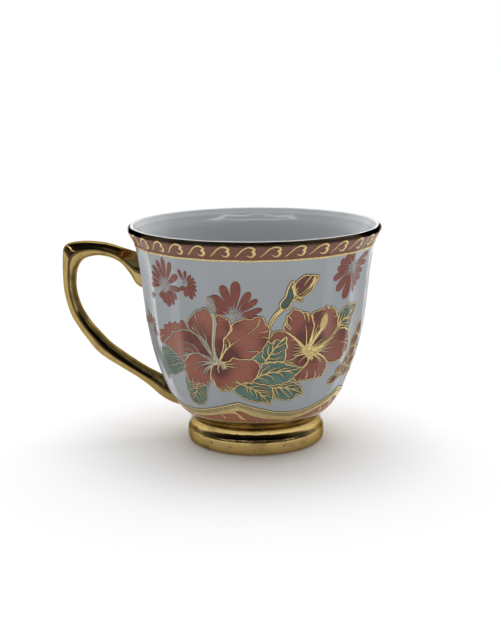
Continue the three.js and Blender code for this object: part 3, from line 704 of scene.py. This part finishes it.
def lower_border():
    low, high, rise = LOWER_BAND

    def crest(turn):
        return high + rise * cusp_wave(turn) + lean(turn)

    vertices, faces = wall_band(low - 0.3, crest, 16, FILM_STAND)
    band = make_piece("lower_gold_band", vertices, faces, BAND_GOLD, 0.5)
    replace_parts(band, "lower_border")
    dark, red, gold = Layer(), Layer(), Layer()
    turns = np.linspace(0, 2 * math.pi, 720, endpoint=False)
    for drop, width in ((-0.1, 0.3), (0.7, 0.22), (1.15, 0.16), (1.6, 0.16)):
        path = np.stack([turns * SHEET_RADIUS, crest(turns) - drop], -1)
        line(dark, path, width, 0.08, 0.02, taper=False, closed=True)
    for i in range(LOWER_CUSPS):
        centre = (LOWER_TURN + 2 * math.pi * i / LOWER_CUSPS) * SHEET_RADIUS
        left_panel = smooth_path([(-24, 12.9), (-19, 13.5), (-13, 14.6), (-8, 15.6), (-4, 16.2),
            (-1.6, 16.4), (0.6, 15), (1.6, 13.8), (2.4, 13), (-8, 12.8), (-16, 12.7)], 0.6, closed=True)
        right_panel = smooth_path([(-1.8, 16.7), (-0.8, 17.4), (0.8, 17.3), (3, 16.5), (5, 15.6),
            (7.4, 14.9), (11, 14.2), (16, 13.5), (21, 12.9), (12, 12.8), (3, 12.9), (2, 14), (0.8, 15.2)],
            0.6, closed=True)
        for panel, tone in ((left_panel, 0.5), (right_panel, 0.3)):
            panel = panel + [centre, 0]
            panel[:, 1] += lean(panel[:, 0] / SHEET_RADIUS) * smooth_step(12.8, 16, panel[:, 1])
            film(red, panel, 0.075, tone)
        strokes(gold, 0.6, 0.1, [(centre - 3.4, 16.4), (centre - 1.8, 16.5), (centre - 0.4, 15.7),
            (centre + 0.7, 14.7), (centre + 2.6, 13.7)], [(centre - 2.2, 17), (centre - 0.8, 16.2),
            (centre + 0.2, 15.4)], [(centre - 0.6, 15.4), (centre + 0.4, 14.2), (centre + 1.8, 13.7)])
        strokes(gold, 0.45, 0.1, [(centre - 8.4, 15.8), (centre - 7.4, 14.6), (centre - 7.2, 13.6)],
            [(centre - 7.8, 15), (centre - 6.4, 14.2)])
    red.piece("lower_red_panels", PANEL_RED, "border_print")
    gold.piece("lower_curls", LINE_GOLD, "border_print")
    dark.piece("lower_dark_lines", DARK_LINE, "border_print")


# ---------------------------------------------------------------- clay pieces and gold coats
LIP = [(RIM_RADIUS - inset, CUP_HEIGHT - drop) for inset, drop in (
    (0.05, 1.6), (0.12, 1.05), (0.42, 0.58), (0.88, 0.22), (1.4, 0.1), (1.85, 0.35), (2.1, 1.1))]


# Shades of the glaze: a cool grey outside; painted light makes it whiter inside the cup, and a painted
# highlight makes it palest on the lip's inner edge
OUTSIDE_TONE = 0.2
INSIDE_PAINTED_LIGHT = 0.8
LIP_EDGE_HIGHLIGHT = 1.2


def body():
    outside = [(wall_radius(height), height, 1.0) for height in np.arange(WAIST_HEIGHT, LIP_START, ROW_STEP)]
    lip = [(*place, 1.0) for place in smooth_path(LIP, 0.15)]
    inside_heights = np.arange(72.3, 19, -2 * ROW_STEP)
    thickness = WALL_THICKNESS + WALL_THICKENING * smooth_step(60, 20, inside_heights)
    inside = [(radius, height, 0.3)
              for radius, height in zip(wall_radius(inside_heights) - thickness, inside_heights)]
    floor = [(radius, height, 0.0) for radius, height in smooth_path([
        (27.6, 18.2), (25.2, 15.2), (21.4, 12.8), (17, 11.7), (9, 11.4), (3, 11.3)], 1.1)]
    under = [(3, WAIST_HEIGHT, 0), (12, WAIST_HEIGHT, 0), (WAIST_RADIUS - 0.5, WAIST_HEIGHT, 0)]
    rows = np.concatenate([turned(under + outside + lip), turned(inside + floor, softness=0.4)])
    vertices, faces = rows_mesh(rows, capped=True)
    row_tone = [OUTSIDE_TONE] * len(under + outside)
    # The lip's inner edge is painted palest: a painted highlight
    row_tone += [LIP_EDGE_HIGHLIGHT if radius < RIM_RADIUS - 0.8 else OUTSIDE_TONE for radius, *_ in lip]
    # The inside of the cup is painted lighter: painted light
    row_tone += [INSIDE_PAINTED_LIGHT] * len(inside + floor)
    tone = list(np.repeat(row_tone, AROUND))
    tone += [INSIDE_PAINTED_LIGHT] * (len(vertices) - len(tone))
    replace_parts(make_piece("cup_body", vertices, faces, GLAZE, tone), "bowl")


def lip_gilding():
    path = smooth_path(LIP[:4], 0.12)
    outside = [(radius + 0.06, height + 0.03, 1.0) for radius, height in path]
    inside = [(radius - 0.12, height - 0.12, 1.0) for radius, height in path[::-1]]
    vertices, faces = rows_mesh(turned(outside + inside))
    piece = make_piece("lip_gold", vertices, faces, LIP_GOLD, 0.5)
    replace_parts(piece, "lip_gilding")


def base_gilding():
    vertices, faces = wall_band(WAIST_HEIGHT + 0.02, LOWER_BAND[0] - 0.2, 14, FILM_STAND)
    piece = make_piece("base_gold", vertices, faces, BASE_GOLD, 0.5)
    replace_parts(piece, "base_gilding")


def foot_ring():
    edge = FOOT_RADIUS
    outer = smooth_path([
        (edge - 1.1, 0.0), (edge - 0.45, 0.22), (edge - 0.1, 0.9), (edge, 1.9), (edge - 0.02, 3.4),
        (edge - 0.12, 4.5), (edge - 0.5, 5.1), (edge - 0.85, 5.9), (edge - 1.15, 6.8),
        (edge - 1.28, 7.5), (WAIST_RADIUS, WAIST_HEIGHT)], 0.25)
    inner = smooth_path([
        (edge - 4.2, WAIST_HEIGHT), (edge - 4.0, 3), (edge - 3.6, 0.9), (edge - 3.1, 0.15),
        (edge - 2.7, 0.0)], 0.5)
    outline = np.vstack([outer, inner])
    height = outline[:, 1]
    vertices, faces = rows_mesh(turned([(*place, 0.0) for place in outline], FOOT_AROUND))
    # Painted reflection: the gold is darkened in a band where the foot narrows, standing in for the dark room
    # mirrored there
    dark_band_reflection = smooth_step(4.2, 4.7, height) * (1 - smooth_step(5.7, 6.4, height))
    tone = np.repeat(0.58 - 0.3 * dark_band_reflection, FOOT_AROUND)
    piece = make_piece("foot", vertices, faces, FOOT_GOLD, tone)
    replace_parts(piece, "foot_ring")


def handle():
    """An ear-shaped handle: a soft diamond section carried between an outer and an inner edge."""
    edges = [
        (38.6, 64.9, 37.6, 52.4), (41, 65.6, 40.4, 54.2), (44.4, 66.7, 42.6, 58),
        (48.6, 68.1, 45.6, 61.7), (53.4, 69, 49.6, 63.7), (58.4, 69.2, 54, 64.2),
        (63.1, 68.5, 58.2, 62.9), (65.0, 66.6, 60.2, 60), (HANDLE_REACH - 0.1, 62, 60.9, 56.6),
        (HANDLE_REACH, 57, 61.0, 53.4), (65.1, 51, 60.5, 50), (63.3, 44, 58.9, 45.4),
        (60.6, 39, 56.1, 40.8), (58.1, 35.3, 52.9, 37), (55.6, 31.8, 49.6, 33.5),
        (52.4, 28.8, 45.6, 30.4), (47.6, 25.6, 41.6, 27.5), (42, 22, 37.5, 24.8),
        (37.2, 18.4, 34, 22.9), (33.2, 14.7, 32, 21.8), (29.4, 12.3, 30.4, 20.6),
        (25.6, 11, 28.4, 19.4)]
    path = smooth_path(edges, 0.75)
    outer, inner = path[:, :2], path[:, 2:]
    share = np.linspace(0, 1, len(path))
    swell = np.interp(share, [0, 0.06, 0.35, 0.7, 0.94, 1], [1.12, 1.0, 1.0, 0.9, 0.9, 1.0])
    side = [(0.96, 0.28), (0.84, 0.44), (0.46, 0.72), (0.1, 0.99), (-0.06, 1), (-0.25, 0.94), (-0.6, 0.78),
            (-0.9, 0.5)]
    other_side = [(x, -y) for x, y in reversed(side)]
    across, aside = smooth_path([(1, 0), *side, (-1, 0), *other_side], 0.08, closed=True).T
    rows = []
    for centre, spread, thick in zip((outer + inner) / 2, (outer - inner) / 2, swell * HANDLE_THICKNESS / 2):
        flat = centre + across[:, None] * spread
        rows.append(np.stack([AXIS_X - flat[:, 0], aside * thick, flat[:, 1]], -1))
    vertices, faces = rows_mesh(np.array(rows), capped=True)
    # Painted shade: darker gold in the crease along each side, and below the top bend on the side towards the
    # cup
    ridge = smooth_step(-0.2, -0.1, across)
    crease_shade = ridge * (1 - smooth_step(0.06, 0.14, across))
    top = smooth_step(0.36, 0.28, share)[:, None]
    flank_shade = (1 - ridge) * (1 - top)
    tone = [*(0.64 - 0.2 * flank_shade - 0.8 * crease_shade).ravel(), 0.5, 0.5]
    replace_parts(make_piece("handle_gilded", vertices, faces, HANDLE_GOLD, tone), "handle")


# ---------------------------------------------------------------- materials
class Tree:
    """A node tree and a few helpers to wire patterns in it."""

    def __init__(self, owner):
        owner.use_nodes = True
        self.nodes = owner.node_tree.nodes
        self.links = owner.node_tree.links

    def ramp(self, value, *stops):
        node = self.nodes.new("ShaderNodeValToRGB")
        while len(node.color_ramp.elements) < len(stops):
            node.color_ramp.elements.new(0.5)
        for element, (position, colour) in zip(node.color_ramp.elements, stops):
            element.position = position
            element.color = (*colour, 1)
        self.links.new(value, node.inputs["Fac"])
        return node.outputs["Color"]

    def spread(self, value, low, high, start=0.3, end=0.7, easing="LINEAR"):
        """Takes start to end onto low to high."""
        node = self.nodes.new("ShaderNodeMapRange")
        node.interpolation_type = easing
        for name, number in (("From Min", start), ("From Max", end), ("To Min", low), ("To Max", high)):
            node.inputs[name].default_value = number
        self.links.new(value, node.inputs["Value"])
        return node.outputs["Result"]

    def math(self, operation, *values):
        node = self.nodes.new("ShaderNodeMath")
        node.operation = operation
        for socket, value in zip(node.inputs, values):
            if isinstance(value, (int, float)):
                socket.default_value = value
            else:
                self.links.new(value, socket)
        return node.outputs["Value"]


class Shader(Tree):
    """A material with a Principled shader."""

    def __init__(self, name):
        self.material = bpy.data.materials.new(name)
        super().__init__(self.material)
        self.shader = self.nodes["Principled BSDF"]
        self.place = self.nodes.new("ShaderNodeTexCoord").outputs["Object"]

    def noise(self, scale, detail=3.0, stretch=(1, 1, 1)):
        mapping = self.nodes.new("ShaderNodeMapping")
        mapping.inputs["Scale"].default_value = stretch
        self.links.new(self.place, mapping.inputs["Vector"])
        node = self.nodes.new("ShaderNodeTexNoise")
        node.inputs["Scale"].default_value = scale
        node.inputs["Detail"].default_value = detail
        self.links.new(mapping.outputs["Vector"], node.inputs["Vector"])
        return node.outputs["Fac"]

    def tone(self):
        node = self.nodes.new("ShaderNodeAttribute")
        node.attribute_name = "tone"
        return node.outputs["Fac"]

    def colour(self, value):
        self.links.new(value, self.shader.inputs["Base Color"])

    def roughness(self, value):
        self.links.new(value, self.shader.inputs["Roughness"])

    def bump(self, value, height_mm):
        node = self.nodes.new("ShaderNodeBump")
        node.inputs["Distance"].default_value = height_mm * MM
        node.inputs["Strength"].default_value = 1.0
        self.links.new(value, node.inputs["Height"])
        self.links.new(node.outputs["Normal"], self.shader.inputs["Normal"])

    def plain(self, **values):
        for name, value in values.items():
            self.shader.inputs[name.replace("_", " ")].default_value = value
        return self


def glaze():
    shader = Shader("white_glaze").plain(IOR=1.5)
    cloud = shader.math("MULTIPLY", shader.math("SUBTRACT", shader.noise(35, 2), 0.5), 0.1)
    value = shader.math("ADD", shader.tone(), cloud)
    # inside is painted light for the inside of the cup, and lip is a painted highlight on the lip's inner
    # edge
    outside, inside, lip = (0.33, 0.357, 0.374), (0.54, 0.565, 0.58), (0.72, 0.74, 0.76)
    shader.colour(shader.ramp(value, (0.15, outside), (0.85, inside), (1.0, lip)))
    shader.roughness(shader.spread(shader.noise(60, 3), 0.05, 0.11))
    shader.bump(shader.noise(260, 1), 0.012)
    return shader.material


def enamel(name, dark, middle, light):
    shader = Shader(name).plain(IOR=1.5, Specular_IOR_Level=0.3)
    mottle = shader.math("MULTIPLY", shader.math("SUBTRACT", shader.noise(300, 3), 0.5), 0.15)
    value = shader.math("ADD", shader.tone(), mottle)
    shader.colour(shader.ramp(value, (0.05, dark), (0.5, middle), (0.95, light)))
    shader.roughness(shader.spread(shader.noise(900, 2), 0.24, 0.4))
    shader.bump(shader.noise(2500, 2), 0.01)
    return shader.material


def gilding(name, colour, shadow, rough, streak, wear, glance=(1, 1, 1)):
    """Fired gold: a little cloudy, faintly brushed, with small dark pits. glance tints grazing light."""
    shader = Shader(name).plain(Metallic=1.0, Specular_Tint=(*glance, 1))
    cloud = shader.noise(120, 5, streak)
    pits = shader.noise(900, 3)
    worn = shader.math("MULTIPLY", shader.math("GREATER_THAN", pits, 0.68), wear)
    clean = shader.math("SUBTRACT", cloud, worn)
    # tone pulls the gold towards shadow: painted shade on the handle and a painted dark reflection on the
    # foot
    value = shader.math("ADD", clean, shader.math("SUBTRACT", shader.tone(), 0.6))
    shader.colour(shader.ramp(value, (0.15, shadow), (0.45, colour), (0.75, tuple(1.1 * c for c in colour))))
    shader.roughness(shader.spread(shader.noise(240, 4, streak), rough * 0.7, rough * 1.4))
    shader.bump(shader.noise(420, 4, streak), 0.03)
    return shader.material


def flat_print(name, low, high, rough, metallic=0.0):
    shader = Shader(name).plain(Metallic=metallic)
    value = shader.math("ADD", shader.noise(1200, 3), shader.math("SUBTRACT", shader.tone(), 0.5))
    shader.colour(shader.ramp(value, (0.3, low), (0.7, high)))
    shader.roughness(shader.spread(shader.noise(1800, 2), rough * 0.85, rough * 1.15))
    return shader.material


GLAZE = glaze()
RED = enamel("red_enamel", (0.13, 0.036, 0.028), (0.26, 0.082, 0.056), (0.36, 0.13, 0.085))
BAND_RED = enamel("border_red_enamel", (0.155, 0.058, 0.038), (0.18, 0.07, 0.046), (0.205, 0.082, 0.055))
PANEL_RED = enamel("panel_red_enamel", (0.30, 0.112, 0.063), (0.345, 0.132, 0.078), (0.40, 0.16, 0.095))
GREEN = enamel("green_enamel", (0.06, 0.115, 0.09), (0.098, 0.18, 0.144), (0.14, 0.25, 0.20))
PALE = flat_print("pale_stipple", (0.30, 0.305, 0.30), (0.40, 0.405, 0.39), 0.35)
LINE_GOLD = flat_print("line_gold", (0.52, 0.40, 0.165), (0.90, 0.70, 0.32), 0.4, 0.75)
# Painted reflection: the same gold as line_gold, painted paler and greyer where it mirrors cooler light
PALE_GOLD = flat_print("pale_line_gold", (0.34, 0.32, 0.25), (0.54, 0.50, 0.39), 0.4, 0.5)
BAND_GOLD = flat_print("band_gold", (0.66, 0.52, 0.24), (0.80, 0.63, 0.30), 0.3, 0.85)
DARK_LINE = flat_print("dark_line", (0.05, 0.04, 0.035), (0.09, 0.07, 0.05), 0.4)
# Painted shade: the dark strokes under the raised lines
EDGE = flat_print("line_edge", (0.09, 0.05, 0.038), (0.14, 0.085, 0.065), 0.4)
FOOT_GOLD = gilding("foot_gold", (0.60, 0.43, 0.165), (0.13, 0.085, 0.04), 0.08, (1, 1, 3), 0.5,
                    (0.5, 0.45, 0.36))
BASE_GOLD = gilding("base_gold", (0.52, 0.40, 0.20), (0.18, 0.13, 0.065), 0.08, (1, 1, 3), 0.5)
HANDLE_GOLD = gilding("handle_gold", (0.41, 0.295, 0.11), (0.082, 0.054, 0.024), 0.09, (2, 1, 1), 0.4,
                      (0.45, 0.36, 0.22))
# The lip's gold is painted nearly black: a painted dark reflection of the room in the gold
LIP_GOLD = gilding("lip_gold", (0.06, 0.045, 0.03), (0.02, 0.015, 0.01), 0.10, (1, 1, 4), 0.3,
                   (0.12, 0.10, 0.085))


# ---------------------------------------------------------------- floor, light and camera
def pale_ground():
    shader = Shader("pale_floor").plain(Roughness=0.9)
    shader.colour(shader.ramp(shader.noise(4, 2), (0.3, (0.96, 0.96, 0.965)), (0.7, (0.97, 0.97, 0.975))))
    mesh = bpy.data.meshes.new("floor")
    half = 6.0
    corners = [(-half, -half, 0), (half, -half, 0), (half, half, 0), (-half, half, 0)]
    mesh.from_pydata(corners, [], [(0, 1, 2, 3)])
    mesh.materials.append(shader.material)
    floor = bpy.data.objects.new("floor", mesh)
    bpy.context.collection.objects.link(floor)


def top_light():
    sun = bpy.data.lights.new("top_light", "SUN")
    sun.energy = 1.55
    sun.angle = math.radians(55)
    top = bpy.data.objects.new("top_light", sun)
    top.visible_glossy = False
    bpy.context.collection.objects.link(top)


def studio():
    """A soft room: white low down, bright behind, darker in front and above, with a thin bright ring."""
    world = bpy.data.worlds.new("studio")
    bpy.context.scene.world = world
    tree = Tree(world)
    split = tree.nodes.new("ShaderNodeSeparateXYZ")
    tree.links.new(tree.nodes.new("ShaderNodeTexCoord").outputs["Generated"], split.inputs["Vector"])
    x, y, z = split.outputs
    level = tree.math("SQRT", tree.math("ADD", tree.math("MULTIPLY", x, x), tree.math("MULTIPLY", y, y)))
    bearing = tree.math("DIVIDE", y, tree.math("MAXIMUM", level, 0.01))
    behind = tree.spread(bearing, 0, 1, -1, 1)
    greys = ((0.18, 0.010), (0.32, 0.08), (0.48, 0.25), (0.64, 0.70), (0.82, 1.15))
    room = tree.ramp(behind, *((position, (grey, grey, grey)) for position, grey in greys))
    above = tree.spread(z, 0, 1, 0.10, 0.15, "SMOOTHSTEP")
    shade = tree.math("MULTIPLY", above, tree.math("SUBTRACT", room, 1.0))
    ring_height, ring_width, ring_glow = 0.66, 0.012, 6.0
    ring = tree.math("COMPARE", z, ring_height, ring_width)
    front = tree.math("SUBTRACT", 1.0, behind)
    glow = tree.math("ADD", tree.math("MULTIPLY", tree.math("MULTIPLY", ring, front), ring_glow), 1.0)
    tree.links.new(tree.math("ADD", shade, glow), tree.nodes["Background"].inputs["Color"])


def camera():
    """The photo's angle: a little above the lip, looking down at the cup, and hardly rolled."""
    distance, height, downward, roll = 0.3985, 0.1309, 12.26, 0.5
    data = bpy.data.cameras.new("camera")
    data.lens = 68.6
    data.clip_start = 0.01
    view = bpy.data.objects.new("camera", data)
    view.location = ((AXIS_X - 0.8) * MM, -distance, height)
    view.rotation_euler = (math.radians(90 - downward), math.radians(roll), 0)
    bpy.context.collection.objects.link(view)
    bpy.context.scene.camera = view


camera()
pale_ground()
top_light()
studio()
bpy.context.scene.view_settings.view_transform = "Standard"

body()
lip_gilding()
base_gilding()
foot_ring()
handle()
rim_border()
lower_border()
spray("front", 0.0, "flower_transfer_front")
spray("back", math.pi, "flower_transfer_back")
